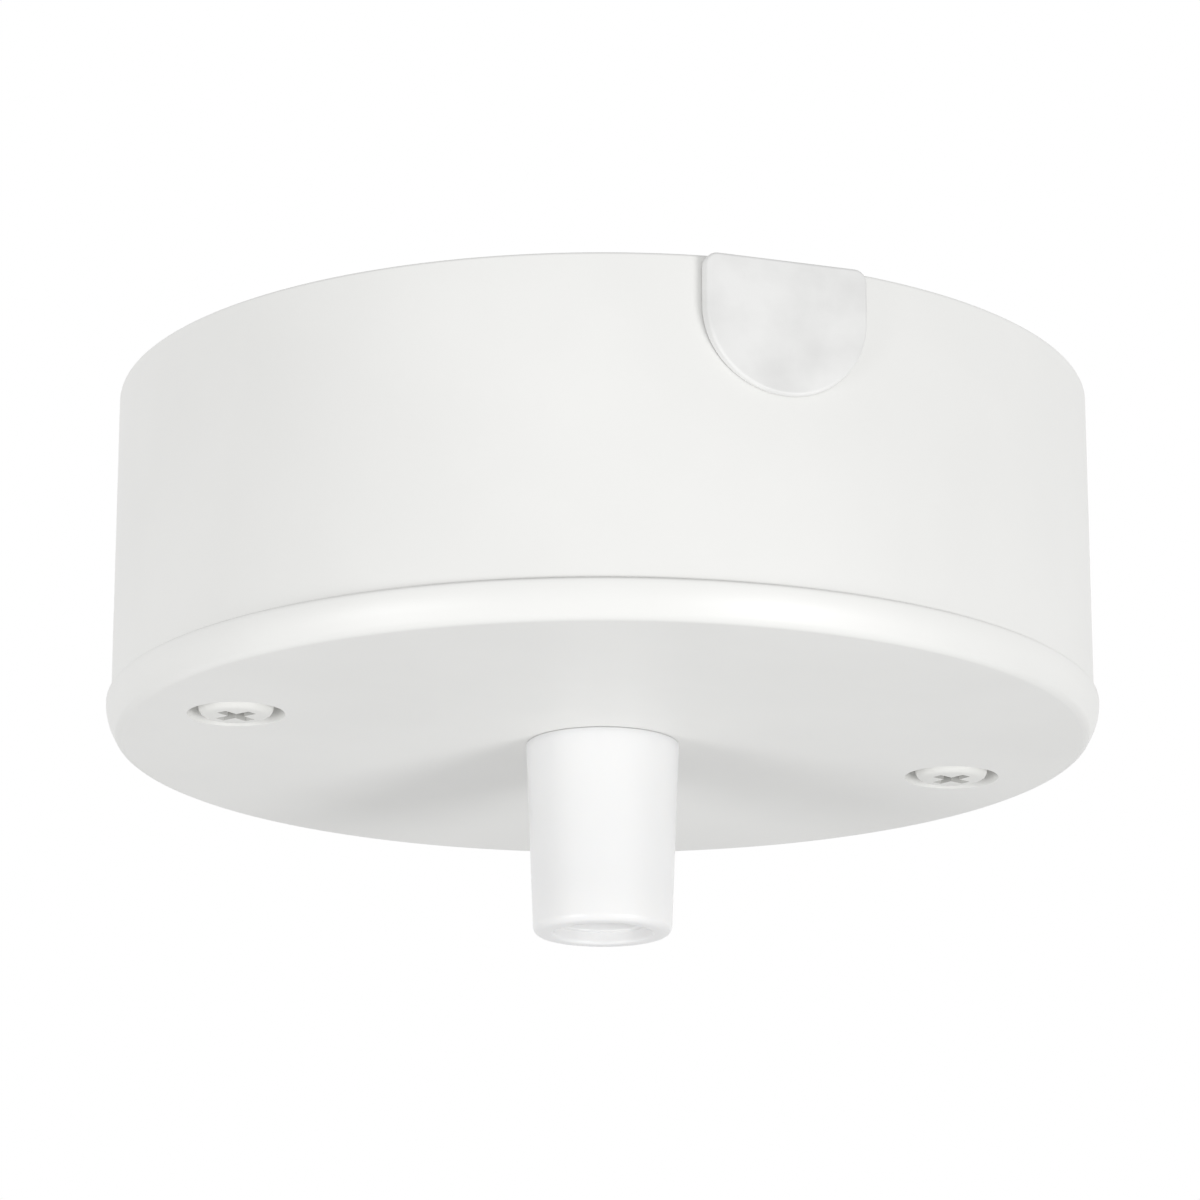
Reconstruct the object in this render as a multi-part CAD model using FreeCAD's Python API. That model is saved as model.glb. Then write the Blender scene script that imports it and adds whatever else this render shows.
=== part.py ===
"""Electrical ceiling rose: a moulded cup that is screwed to a ceiling, closed from below by a shallow cover.

The cover carries a tapered cord grip in its middle and is held by two recessed screws. Millimetres, +Z up.
The origin is the middle of the ceiling face, so everything hangs below z = 0. The cover screws lie on the
X axis and the side cable entry, closed by its blank, faces -Y.
"""

import FreeCAD
import Part
import math
import os

V = FreeCAD.Vector

# Cup
shell_radius = 48.5  # at the seam, where the mould's draft makes it widest
shell_draft = 0.1  # how much narrower the cup is at the ceiling
shell_depth = 31.1
shell_wall = 2.4
floor_thickness = 2.5
rim_round = 0.3
inner_round = 1.0

# Cover
cover_proud = 0.5  # the cover stands this far out of the cup
cover_taper = 1.15  # how much narrower its lower edge is
cover_depth = 3.7
cover_shoulder = 1.5  # the side stands straight this far below the seam, then tapers
cover_shoulder_round = 1.0
cover_dish = 0.25  # the face rises this much from its edge to its flat middle
cover_flat_radius = 12.0
cover_plate = 2.35
cover_edge_round = 0.6
cover_seam_round = 0.35
lip_height = 1.8
lip_wall = 1.4
lip_gap = 0.2
hub_radius = 9.4
hub_height = 0.8
cover_rib_count = 6
cover_rib_width = 1.2

# Cover screws, their pockets in the cover and their bosses in the cup
screw_inset = 8.4  # from the cup's inner wall to a screw's axis
screw_shank_radius = 1.75
screw_length = 10.0
screw_head_radius = 3.65
screw_head_height = 2.4
screw_head_round = 1.6  # the pan head's crown is nearly a dome
screw_tip_round = 0.6
screw_recess_width = 3.6
screw_recess_slot = 0.9
screw_recess_depth = 1.5
screw_sink = 0.1  # the head's crown lies this far inside the face
screw_hole_gap = 0.2
pocket_radius = 4.75
pocket_wall = 1.3
washer_radius = 4.1
washer_thickness = 0.5
boss_radius = 4.6
boss_rib_width = 1.6
boss_seat_gap = 0.2  # between a boss's end and the cover's pocket
insert_radius = 2.75
insert_length = 8.0
insert_gap = 0.02
insert_waist_depth = 0.35
boss_hole_depth = 12.0
thread_gap = 0.05  # between a plain shank and its plain hole, where the real pair is threaded

# Side cable entry and its blank
entry_width = 12.6
entry_depth = 11.3
blank_width = 16.0
blank_depth = 13.0
blank_corner = 1.2
blank_proud = 0.5  # the flat plate's middle stands this far out of the cup
blank_flange = 1.2
blank_gap = 0.1
blank_slide_gap = 0.06
blank_notch_gap = 0.25  # round the inner flange where it passes the floor
blank_edge_round = 0.35

# Ceiling fixings and rear cable entry
fixing_spacing = 50.8
fixing_slot_width = 4.4
fixing_slot_length = 8.0
fixing_pad_radius = 6.2
fixing_pad_height = 0.8
cable_hole_radius = 10.0
cable_collar_wall = 1.6
cable_collar_height = 1.5

# Cord grip
cord_radius = 4.1
cap_top_radius = 7.55
cap_end_radius = 6.8
cap_length = 19.0
cap_face_gap = 0.1
cap_top_round = 0.9
cap_end_round = 0.5
cap_mouth_round = 0.25
cap_mouth_radius = 4.82
cap_mouth_depth = 1.2
cap_throat_radius = 4.3
cap_ledge = 2.5  # length of the throat that the collet rests on
nipple_thread_radius = 5.75
nipple_length = 12.7
nipple_flange_radius = 6.2
nipple_flange = 1.5
nipple_flange_gap = 0.15
nipple_shank_radius = 5.0
nipple_flat_width = 9.2
nipple_key_gap = 0.1
nipple_cone_radius = 5.3
nipple_cone_depth = 3.0
nipple_seat_radius = 4.6
nipple_seat_depth = 4.2
nut_flats = 14.0
nut_height = 4.0
nut_chamfer = 0.8
nut_washer_radius = 8.0
nut_washer_thickness = 0.8
nipple_tail = 1.0  # thread left showing above the nut
collet_gap = 0.1
collet_collar_radius = 5.65
collet_collar_gap = 0.4
collet_tip = 0.6
collet_slots = 4
collet_slot_width = 0.8

# Terminal block
block_y = 25.0
block_length = 20.0
block_slab = 2.4
block_post_height = 3.0
block_post_radius = 3.4
block_ear_x = 19.4
block_end_wall = 1.5
way_names = ("neutral", "earth", "line")
way_pitch = 10.4
way_wall = 1.2
way_round = 1.6
way_cover = 1.5  # plastic between the slab's top and the brass
tower_wall = 0.9
terminal_width = 6.2
terminal_foot = 3.0  # thread length between the wire bore and the screw's side
terminal_gap = 0.1
wire_radius = 1.9
wire_entry_radius = 2.5
terminal_screw_radius = 1.45
terminal_head_radius = 2.05
terminal_head_height = 1.6
terminal_slot_width = 0.6
terminal_slot_depth = 0.9
small_screw_round = 0.35
terminal_travel = 2.4
terminal_screw_spacing = 9.6
terminal_head_gap = 0.2
tower_margin = 0.5
block_screw_radius = 1.45
block_screw_head_radius = 2.9
block_screw_head_height = 2.0
block_screw_tip_floor = 1.2  # plastic left between a fixing screw's hole and the ceiling face

overshoot = 1.0  # how far a cutting solid passes the face that it cuts
touch_gap = 0.05  # between faces that turn or slide on each other
same_place = 1e-6  # points nearer than this are one point

# Radii and levels worked out from the sizes above
shell_top_radius = shell_radius - shell_draft
shell_inner_radius = shell_radius - shell_wall
cover_radius = shell_radius + cover_proud
cover_edge_radius = cover_radius - cover_taper
screw_circle = shell_inner_radius - screw_inset
z_floor = -floor_thickness
z_seam = -shell_depth
z_edge = z_seam - cover_depth
z_face = z_edge + cover_dish
z_plate = z_face + cover_plate
z_hub = z_plate + hub_height
z_lip = z_seam + lip_height
z_boss = z_lip + boss_seat_gap
face_slope = cover_dish / (cover_edge_radius - cover_flat_radius)
z_screw_crown = z_face - face_slope * (screw_circle - cover_flat_radius) + screw_sink
z_screw_seat = z_screw_crown + screw_head_height
z_pocket = z_screw_seat + washer_thickness
z_block = z_floor - block_post_height
z_wire = z_block - way_cover - terminal_width / 2
z_terminal = z_wire - wire_radius - terminal_foot
z_tower = z_terminal - terminal_head_gap - terminal_travel - terminal_head_height - tower_margin


def rounded_wire(corners, place):
    """Closed wire through (a, b, radius) corners, each rounded by a tangent arc.

    place turns (a, b) into a point.
    """
    points = [place(a, b) for a, b, _ in corners]
    starts = []
    ends = []
    middles = []
    for i, (_, _, radius) in enumerate(corners):
        here = points[i]
        back = (points[i - 1] - here).normalize()
        ahead = (points[(i + 1) % len(points)] - here).normalize()
        half = back.getAngle(ahead) / 2
        reach = radius / math.tan(half)
        bisector = (back + ahead).normalize() if radius else V()
        starts.append(here + back * reach)
        ends.append(here + ahead * reach)
        middles.append(here + bisector * (radius / math.sin(half) - radius))
    edges = []
    for i, (_, _, radius) in enumerate(corners):
        if radius:
            edges.append(Part.Arc(starts[i], middles[i], ends[i]).toShape())
        following = starts[(i + 1) % len(starts)]
        if (following - ends[i]).Length > same_place:
            edges.append(Part.makeLine(ends[i], following))
    return Part.Wire(edges)


def turned(corners):
    """Solid of revolution about Z from (radius, z, rounding) corners."""
    face = Part.Face(rounded_wire(corners, lambda r, z: V(r, 0, z)))
    return face.revolve(V(0, 0, 0), V(0, 0, 1), 360)


def extruded_along_y(corners, y_start, y_end, x=0.0):
    """Prism along Y from (x, z, rounding) corners."""
    face = Part.Face(rounded_wire(corners, lambda a, z: V(a + x, y_start, z)))
    return face.extrude(V(0, y_end - y_start, 0))


def cylinder(radius, z_low, z_high, x=0.0, y=0.0):
    return Part.makeCylinder(radius, z_high - z_low, V(x, y, z_low))


def cylinder_along_y(radius, y_low, y_high, x, z):
    return Part.makeCylinder(radius, y_high - y_low, V(x, y_low, z), V(0, 1, 0))


def block(x_low, x_high, y_low, y_high, z_low, z_high):
    return Part.makeBox(x_high - x_low, y_high - y_low, z_high - z_low, V(x_low, y_low, z_low))


def ring(outer, inner, z_low, z_high, x=0.0, y=0.0):
    hole = cylinder(inner, z_low - overshoot, z_high + overshoot, x, y)
    return cylinder(outer, z_low, z_high, x, y).cut(hole).Solids[0]


def slot(x, length, width, z_low, z_high):
    """Round-ended slot along X, centred on (x, 0)."""
    reach = (length - width) / 2
    ends = [cylinder(width / 2, z_low, z_high, x + side * reach) for side in (-1, 1)]
    middle = block(x - reach, x + reach, -width / 2, width / 2, z_low, z_high)
    return middle.multiFuse(ends)


def one_solid(shape):
    """The shape with its split faces joined, as a single solid."""
    clean = shape.removeSplitter()
    return clean.Solids[0] if len(clean.Solids) == 1 else clean


def entry_outline(width, depth, corner, top=0.0):
    """U shape hung from the ceiling rim: straight sides and a half-round bottom."""
    half = width / 2
    return [(-half, top, corner), (-half, -depth, half), (half, -depth, half), (half, top, corner)]


def fixing_xs():
    return (-fixing_spacing / 2, fixing_spacing / 2)


def housing_shell():
    body = turned(
        [
            (0, 0, 0),
            (shell_top_radius, 0, rim_round),
            (shell_radius, z_seam, rim_round),
            (shell_inner_radius, z_seam, rim_round),
            (shell_inner_radius, z_floor, inner_round),
            (0, z_floor, 0),
        ]
    )
    added = [cylinder(cable_hole_radius + cable_collar_wall, z_floor - cable_collar_height, z_floor)]
    for x in fixing_xs():
        added.append(cylinder(fixing_pad_radius, z_floor - fixing_pad_height, z_floor, x))
    for side in (-1, 1):
        boss_x = side * screw_circle
        wall_x = side * (shell_inner_radius + shell_wall / 2)
        added.append(cylinder(boss_radius, z_boss, z_floor, boss_x))
        rib = (min(boss_x, wall_x), max(boss_x, wall_x), -boss_rib_width / 2, boss_rib_width / 2)
        added.append(block(*rib, z_boss, z_floor))
        added.append(cylinder(block_post_radius, z_block, z_floor, side * block_ear_x, block_y))
    body = body.multiFuse(added)

    cuts = [cylinder(cable_hole_radius, z_floor - cable_collar_height - overshoot, overshoot)]
    for x in fixing_xs():
        low = z_floor - fixing_pad_height - overshoot
        cuts.append(slot(x, fixing_slot_length, fixing_slot_width, low, overshoot))
    for side in (-1, 1):
        boss_x = side * screw_circle
        insert_top = z_boss + insert_length + insert_gap
        cuts.append(cylinder(insert_radius + insert_gap, z_boss - overshoot, insert_top, boss_x))
        hole_top = z_boss + boss_hole_depth
        cuts.append(cylinder(screw_shank_radius + screw_hole_gap, z_boss, hole_top, boss_x))
        post_hole = block_screw_radius + thread_gap
        post_x = side * block_ear_x
        cuts.append(cylinder(post_hole, z_block - overshoot, -block_screw_tip_floor, post_x, block_y))
    cuts.append(entry_cut())
    return one_solid(body.cut(Part.makeCompound(cuts)))


def entry_cut():
    """Slot through the wall, with a notch in the floor's edge for the blank's inner flange to slide out."""
    notch_radius = shell_inner_radius - blank_slide_gap - blank_flange - blank_notch_gap
    outline = entry_outline(entry_width, entry_depth, 0, overshoot)
    through = extruded_along_y(outline, -shell_radius - overshoot, -notch_radius)
    half = blank_width / 2 + blank_notch_gap
    below = z_floor - inner_round - blank_gap
    notch = block(-half, half, -shell_radius, 0, below, overshoot)
    notch = notch.common(ring(shell_inner_radius, notch_radius, below, overshoot))
    return through.fuse(notch)


def entry_blank():
    """Blank that closes the side entry: plate outside, neck in the slot, flange inside the wall."""
    face_y = -shell_radius - blank_proud
    back_y = -shell_inner_radius + blank_width / 2
    outline = entry_outline(blank_width, blank_depth, blank_corner)
    low = -blank_depth - overshoot
    plate = extruded_along_y(outline, face_y, back_y)
    front = [edge for edge in plate.Edges if abs(edge.BoundBox.YMax - face_y) < same_place]
    plate = plate.makeFillet(blank_edge_round, front)
    plate = plate.cut(cylinder(shell_radius + blank_slide_gap, low, overshoot))
    flange_outer = shell_inner_radius - blank_slide_gap
    flange = extruded_along_y(outline, face_y, back_y)
    flange = flange.common(ring(flange_outer, flange_outer - blank_flange, low, overshoot))
    neck_outline = entry_outline(entry_width - 2 * blank_gap, entry_depth - blank_gap, 0)
    neck = extruded_along_y(neck_outline, face_y + blank_proud, back_y)
    neck = neck.common(ring(shell_radius + blank_proud, flange_outer - blank_flange, low, overshoot))
    return one_solid(plate.multiFuse([neck, flange]))


def cover():
    lip_outer = shell_inner_radius - lip_gap
    body = turned(
        [
            (0, z_plate, 0),
            (lip_outer - lip_wall, z_plate, 0),
            (lip_outer - lip_wall, z_lip, 0),
            (lip_outer, z_lip, rim_round),
            (lip_outer, z_seam, 0),
            (cover_radius, z_seam, cover_seam_round),
            (cover_radius, z_seam - cover_shoulder, cover_shoulder_round),
            (cover_edge_radius, z_edge, cover_edge_round),
            (cover_flat_radius, z_face, 0),
            (0, z_face, 0),
        ]
    )
    added = [cylinder(hub_radius, z_plate, z_hub)]
    for i in range(cover_rib_count):
        rib = block(0, lip_outer - lip_wall / 2, -cover_rib_width / 2, cover_rib_width / 2, z_plate, z_hub)
        rib.rotate(V(0, 0, 0), V(0, 0, 1), (i + 0.5) * 360 / cover_rib_count)
        added.append(rib)
    for x in (-screw_circle, screw_circle):
        added.append(cylinder(pocket_radius + pocket_wall, z_plate, z_lip, x))
    body = body.multiFuse(added)

    cuts = [keyed_shank(nipple_key_gap, z_edge - overshoot, z_hub + overshoot)]
    for x in (-screw_circle, screw_circle):
        cuts.append(cylinder(pocket_radius, z_edge - overshoot, z_pocket, x))
        cuts.append(cylinder(screw_shank_radius + screw_hole_gap, z_pocket, z_lip + overshoot, x))
    return one_solid(body.cut(Part.makeCompound(cuts)))


def keyed_shank(gap, z_low, z_high):
    """Round bar with two flats that stop it turning in its hole; gap makes it the hole."""
    half = nipple_flat_width / 2 + gap
    reach = nipple_shank_radius + gap
    return cylinder(reach, z_low, z_high).common(block(-half, half, -reach, reach, z_low, z_high))


def cover_screw(x):
    """Pan-head screw with a cross recess; its crown faces down."""
    shank = turned(
        [
            (0, z_screw_seat + screw_length, 0),
            (screw_shank_radius, z_screw_seat + screw_length, screw_tip_round),
            (screw_shank_radius, z_screw_seat, 0),
            (screw_head_radius, z_screw_seat, 0),
            (screw_head_radius, z_screw_crown, screw_head_round),
            (0, z_screw_crown, 0),
        ]
    )
    half = screw_recess_width / 2
    thin = screw_recess_slot / 2
    top = z_screw_crown + screw_recess_depth
    arm = block(-half, half, -thin, thin, z_screw_crown - overshoot, top)
    other = block(-thin, thin, -half, half, z_screw_crown - overshoot, top)
    solid = one_solid(shank.cut(arm.fuse(other)))
    solid.translate(V(x, 0, 0))
    return solid


def screw_washer(x):
    """Captive washer between the head and the pocket's seat."""
    return ring(washer_radius, screw_shank_radius + thread_gap, z_screw_seat, z_pocket, x)


def boss_insert(x):
    """Threaded sleeve, drawn with a plain bore, with a waist that the moulding grips."""
    high = z_boss + insert_length
    bore = screw_shank_radius + thread_gap
    waist = insert_radius - insert_waist_depth
    third = insert_length / 3
    sleeve = turned(
        [
            (bore, z_boss, 0),
            (insert_radius, z_boss, 0),
            (insert_radius, z_boss + third, 0),
            (waist, z_boss + third, 0),
            (waist, high - third, 0),
            (insert_radius, high - third, 0),
            (insert_radius, high, 0),
            (bore, high, 0),
        ]
    )
    sleeve.translate(V(x, 0, 0))
    return sleeve


def grip_nipple():
    """Threaded tube that the cord passes: keyed shank above, flange on the face, collet seat below."""
    z_end = z_face - nipple_length
    z_top = z_hub + nut_washer_thickness + nut_height + nipple_tail
    lower = turned(
        [
            (cord_radius, z_face, 0),
            (nipple_flange_radius, z_face, 0),
            (nipple_flange_radius, z_face - nipple_flange, 0),
            (nipple_thread_radius, z_face - nipple_flange, 0),
            (nipple_thread_radius, z_end, 0),
            (nipple_cone_radius, z_end, 0),
            (nipple_seat_radius, z_end + nipple_cone_depth, 0),
            (nipple_seat_radius, z_end + nipple_seat_depth, 0),
            (cord_radius, z_end + nipple_seat_depth, 0),
        ]
    )
    upper = keyed_shank(0, z_face, z_top).cut(cylinder(cord_radius, z_face, z_top))
    return one_solid(lower.fuse(upper))


def grip_washer():
    return ring(nut_washer_radius, nipple_shank_radius + nipple_key_gap, z_hub, z_hub + nut_washer_thickness)


def grip_nut():
    """Hexagon lock nut, chamfered on its upper side, with a plain bore for its thread."""
    low = z_hub + nut_washer_thickness
    high = low + nut_height
    corner = nut_flats / math.sqrt(3)
    turns = [math.radians(60 * i) for i in range(7)]
    points = [V(corner * math.cos(turn), corner * math.sin(turn), low) for turn in turns]
    prism = Part.Face(Part.makePolygon(points)).extrude(V(0, 0, nut_height))
    dome = turned(
        [
            (0, low, 0),
            (corner, low, 0),
            (corner, high - nut_chamfer, 0),
            (nut_flats / 2, high, 0),
            (0, high, 0),
        ]
    )
    bore = cylinder(nipple_shank_radius + thread_gap, low - overshoot, high + overshoot)
    return one_solid(prism.common(dome).cut(bore))


def collet_levels():
    """Lowest and highest level of the collet, which stands on the cap's ledge inside the nipple's seat."""
    low = z_face - cap_face_gap - cap_length + cap_mouth_depth + cap_ledge + touch_gap
    high = z_face - nipple_length + nipple_cone_depth + collet_tip
    return low, high


def grip_collet():
    """Split ring that the cap pushes into the nipple's cone to grip the cord."""
    low, high = collet_levels()
    z_mouth = z_face - nipple_length
    z_collar = z_mouth - collet_collar_gap
    z_cone = z_mouth + nipple_cone_depth
    body = turned(
        [
            (cord_radius, low, 0),
            (collet_collar_radius, low, 0),
            (collet_collar_radius, z_collar, 0),
            (nipple_cone_radius - collet_gap, z_collar, 0),
            (nipple_cone_radius - collet_gap, z_mouth, 0),
            (nipple_seat_radius - collet_gap, z_cone, 0),
            (nipple_seat_radius - collet_gap, high, 0),
            (cord_radius, high, 0),
        ]
    )
    half = collet_slot_width / 2
    cuts = []
    for i in range(collet_slots):
        cut = block(0, collet_collar_radius + overshoot, -half, half, z_collar - half, high + overshoot)
        cut.rotate(V(0, 0, 0), V(0, 0, 1), (i + 0.5) * 360 / collet_slots)
        cuts.append(cut)
    return one_solid(body.cut(Part.makeCompound(cuts)))


def grip_cap():
    """Tapered sleeve that screws over the nipple and hides it; its mouth is stepped."""
    high = z_face - cap_face_gap
    low = high - cap_length
    ledge = low + cap_mouth_depth + cap_ledge
    bore = nipple_thread_radius + thread_gap
    flange_room = nipple_flange_radius + nipple_flange_gap
    return turned(
        [
            (flange_room, high, 0),
            (cap_top_radius, high, cap_top_round),
            (cap_end_radius, low, cap_end_round),
            (cap_mouth_radius, low, cap_mouth_round),
            (cap_mouth_radius, low + cap_mouth_depth, 0),
            (cap_throat_radius, low + cap_mouth_depth, 0),
            (cap_throat_radius, ledge, 0),
            (bore, ledge, 0),
            (bore, z_face - nipple_flange - nipple_flange_gap, 0),
            (flange_room, z_face - nipple_flange - nipple_flange_gap, 0),
        ]
    )


def way_xs():
    middle = (len(way_names) - 1) / 2
    return [(i - middle) * way_pitch for i in range(len(way_names))]


def ear_xs():
    return (-block_ear_x, block_ear_x)


def screw_ys():
    return (block_y - terminal_screw_spacing / 2, block_y + terminal_screw_spacing / 2)


def terminal_outline(grow):
    """Section of a brass terminal: round over the wire, straight down to the side that the screws enter."""
    half = terminal_width / 2 + grow
    high = z_wire + half
    low = z_terminal - grow
    return [(-half, high, half), (-half, low, 0), (half, low, 0), (half, high, half)]


def terminal_block():
    """Strip of three insulated ways under one slab, with a screw tower over each end of every terminal."""
    y_low = block_y - block_length / 2
    y_high = block_y + block_length / 2
    slab_half = way_xs()[-1] + terminal_width / 2 + way_wall
    slab = block(-slab_half, slab_half, y_low, y_high, z_block - block_slab, z_block)
    bar_y = (block_y - block_post_radius, block_y + block_post_radius)
    bar = block(-block_ear_x, block_ear_x, *bar_y, z_block - block_slab, z_block)
    ears = [cylinder(block_post_radius, z_block - block_slab, z_block, x, block_y) for x in ear_xs()]
    half = terminal_width / 2 + terminal_gap + way_wall
    z_way = z_terminal - way_wall
    outline = [(-half, z_block, 0), (-half, z_way, way_round), (half, z_way, way_round), (half, z_block, 0)]
    tower_radius = terminal_head_radius + terminal_head_gap + tower_wall
    added = [bar] + ears
    cuts = []
    for x in way_xs():
        added.append(extruded_along_y(outline, y_low, y_high, x))
        pocket = terminal_outline(terminal_gap)
        cuts.append(extruded_along_y(pocket, y_low - overshoot, y_high - block_end_wall, x))
        cuts.append(cylinder_along_y(wire_entry_radius, y_low, y_high + overshoot, x, z_wire))
        for y in screw_ys():
            added.append(cylinder(tower_radius, z_tower, z_terminal, x, y))
            well = terminal_head_radius + terminal_head_gap
            cuts.append(cylinder(well, z_tower - overshoot, z_terminal, x, y))
    hole = block_screw_radius + screw_hole_gap
    for x in ear_xs():
        cuts.append(cylinder(hole, z_block - block_slab - overshoot, z_block + overshoot, x, block_y))
    return one_solid(slab.multiFuse(added).cut(Part.makeCompound(cuts)))


def brass_terminal(x):
    y_low = block_y - block_length / 2 + terminal_gap
    y_high = block_y + block_length / 2 - block_end_wall - terminal_gap
    body = extruded_along_y(terminal_outline(0), y_low, y_high, x)
    cuts = [cylinder_along_y(wire_radius, y_low - overshoot, y_high + overshoot, x, z_wire)]
    for y in screw_ys():
        cuts.append(cylinder(terminal_screw_radius + thread_gap, z_terminal - overshoot, z_wire, x, y))
    return one_solid(body.cut(Part.makeCompound(cuts)))


def slotted_screw(x, y, z_seat, z_tip, radius, head_radius, head_height):
    """Screw whose slotted head hangs below z_seat."""
    z_head = z_seat - head_height
    body = turned(
        [
            (0, z_tip, 0),
            (radius, z_tip, small_screw_round),
            (radius, z_seat, 0),
            (head_radius, z_seat, 0),
            (head_radius, z_head, small_screw_round),
            (0, z_head, 0),
        ]
    )
    half = terminal_slot_width / 2
    reach = head_radius + overshoot
    body = body.cut(block(-reach, reach, -half, half, z_head - overshoot, z_head + terminal_slot_depth))
    body.translate(V(x, y, 0))
    return one_solid(body)


def terminal_screw(x, y):
    """Clamping screw, drawn backed off so that its tip leaves the wire bore open."""
    z_seat = z_terminal - terminal_head_gap - terminal_travel
    z_tip = z_wire - wire_radius - terminal_gap
    sizes = (terminal_screw_radius, terminal_head_radius, terminal_head_height)
    return slotted_screw(x, y, z_seat, z_tip, *sizes)


def block_screw(x):
    z_tip = -block_screw_tip_floor - terminal_gap
    z_seat = z_block - block_slab
    sizes = (block_screw_radius, block_screw_head_radius, block_screw_head_height)
    return slotted_screw(x, block_y, z_seat, z_tip, *sizes)


def pieces():
    """Every separate piece by its node name."""
    made = {
        "housing_shell": housing_shell(),
        "entry_blank": entry_blank(),
        "cover": cover(),
        "grip_nipple": grip_nipple(),
        "grip_washer": grip_washer(),
        "grip_nut": grip_nut(),
        "grip_collet": grip_collet(),
        "grip_cap": grip_cap(),
        "terminal_block": terminal_block(),
    }
    for side, sign in (("left", -1), ("right", 1)):
        made[f"cover_screw_{side}"] = cover_screw(sign * screw_circle)
        made[f"screw_washer_{side}"] = screw_washer(sign * screw_circle)
        made[f"boss_insert_{side}"] = boss_insert(sign * screw_circle)
        made[f"block_screw_{side}"] = block_screw(sign * block_ear_x)
    for name, x in zip(way_names, way_xs()):
        made[f"{name}_terminal"] = brass_terminal(x)
        for place, y in zip(("front", "rear"), screw_ys()):
            made[f"{name}_screw_{place}"] = terminal_screw(x, y)
    return made


def main():
    os.makedirs("parts", exist_ok=True)
    for name, solid in pieces().items():
        if solid.ShapeType != "Solid" or not solid.isValid():
            raise ValueError(f"{name} isn't one valid solid")
        solid.exportStep(f"parts/{name}.step")


main()
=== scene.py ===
import bmesh
import bpy
import math
from mathutils import Matrix, Vector


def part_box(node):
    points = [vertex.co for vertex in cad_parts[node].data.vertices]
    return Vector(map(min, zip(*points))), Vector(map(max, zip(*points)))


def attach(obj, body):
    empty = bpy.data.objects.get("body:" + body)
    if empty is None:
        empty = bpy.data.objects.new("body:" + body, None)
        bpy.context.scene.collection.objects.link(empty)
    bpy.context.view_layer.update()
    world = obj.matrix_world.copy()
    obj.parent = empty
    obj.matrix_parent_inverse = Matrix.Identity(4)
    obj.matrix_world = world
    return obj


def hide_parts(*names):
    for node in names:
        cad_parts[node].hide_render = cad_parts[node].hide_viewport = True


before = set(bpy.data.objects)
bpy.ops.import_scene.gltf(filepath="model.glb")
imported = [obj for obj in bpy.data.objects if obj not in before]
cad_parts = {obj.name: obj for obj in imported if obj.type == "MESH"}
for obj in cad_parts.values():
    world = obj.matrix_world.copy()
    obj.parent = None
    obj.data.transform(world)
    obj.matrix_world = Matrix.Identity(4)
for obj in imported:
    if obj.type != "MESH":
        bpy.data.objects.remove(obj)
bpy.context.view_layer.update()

# All lengths here are millimetres, and MM turns them to metres
MM = 0.001
X, Y, Z = 0, 1, 2
Z_AXIS = (0, 0, 1)

# Segments round a full turn
RIM_STEPS = 256
GRIP_STEPS = 192
SMALL_STEPS = 64
THREAD_STEPS = 40

HALF_ROUND_STEPS = 16
CORNER_STEPS = 6

PAST = 1.0  # how far a cutting shape passes the face that it cuts
SUNK = 0.5  # how far a joined shape starts inside its neighbour
SHORT = 0.01  # how far a half-round end stays short of a full half circle
BROKEN = 0.1  # rounding of an edge that is only broken
TINY = 1e-6  # metres; points nearer than this count as one
WELD = 1e-7  # metres; vertices nearer than this are merged
GROWTH = 1024.0  # a power of two, so that no coordinate is rounded on the way there and back

# A thread's ridge: how deep it is sunk in its bar, the shares of the pitch where its foot and its crest
# start, and how far it stays from the end of its bar
THREAD_SUNK = 0.15
THREAD_FOOT = 0.04
THREAD_CREST = 0.42
THREAD_END = 0.2
THREAD_ROOM = 0.05  # radial room of a threaded hole over its thread


def low(node, axis):
    """Lowest coordinate of a CAD node."""
    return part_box(node)[0][axis] / MM


def high(node, axis):
    """Highest coordinate of a CAD node."""
    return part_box(node)[1][axis] / MM


def middle(node, axis):
    return (low(node, axis) + high(node, axis)) / 2


# Levels taken from the frame
SEAM = low("housing_shell", Z)
COVER_EDGE = low("cover", Z)
LIP_TOP = high("cover", Z)
CAP_TOP = high("grip_cap", Z)
CAP_END = low("grip_cap", Z)
NIPPLE_TOP = high("grip_nipple", Z)
NIPPLE_END = low("grip_nipple", Z)
NUT_LOW = low("grip_nut", Z)
NUT_HIGH = high("grip_nut", Z)
HUB = low("grip_washer", Z)
COLLET_LOW = low("grip_collet", Z)
COLLET_HIGH = high("grip_collet", Z)
SCREW_CROWN = low("cover_screw_right", Z)
SCREW_TIP = high("cover_screw_right", Z)
SCREW_SEAT = low("screw_washer_right", Z)
POCKET_FLOOR = high("screw_washer_right", Z)
BOSS_END = low("boss_insert_right", Z)
BLOCK_TOP = high("terminal_block", Z)
TOWER_END = low("terminal_block", Z)
TERMINAL_LOW = low("earth_terminal", Z)
TERMINAL_HIGH = high("earth_terminal", Z)

# Radii and places taken from the frame
SHELL_R = high("housing_shell", X)
COVER_R = min(high("cover", X), -low("cover", X), high("cover", Y))
SCREW_X = middle("cover_screw_right", X)
EAR_X = middle("block_screw_right", X)
BLOCK_Y = middle("terminal_block", Y)
BLOCK_FRONT = low("terminal_block", Y)
BLOCK_BACK = high("terminal_block", Y)
SCREW_HEAD_R = high("cover_screw_right", X) - SCREW_X

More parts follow.
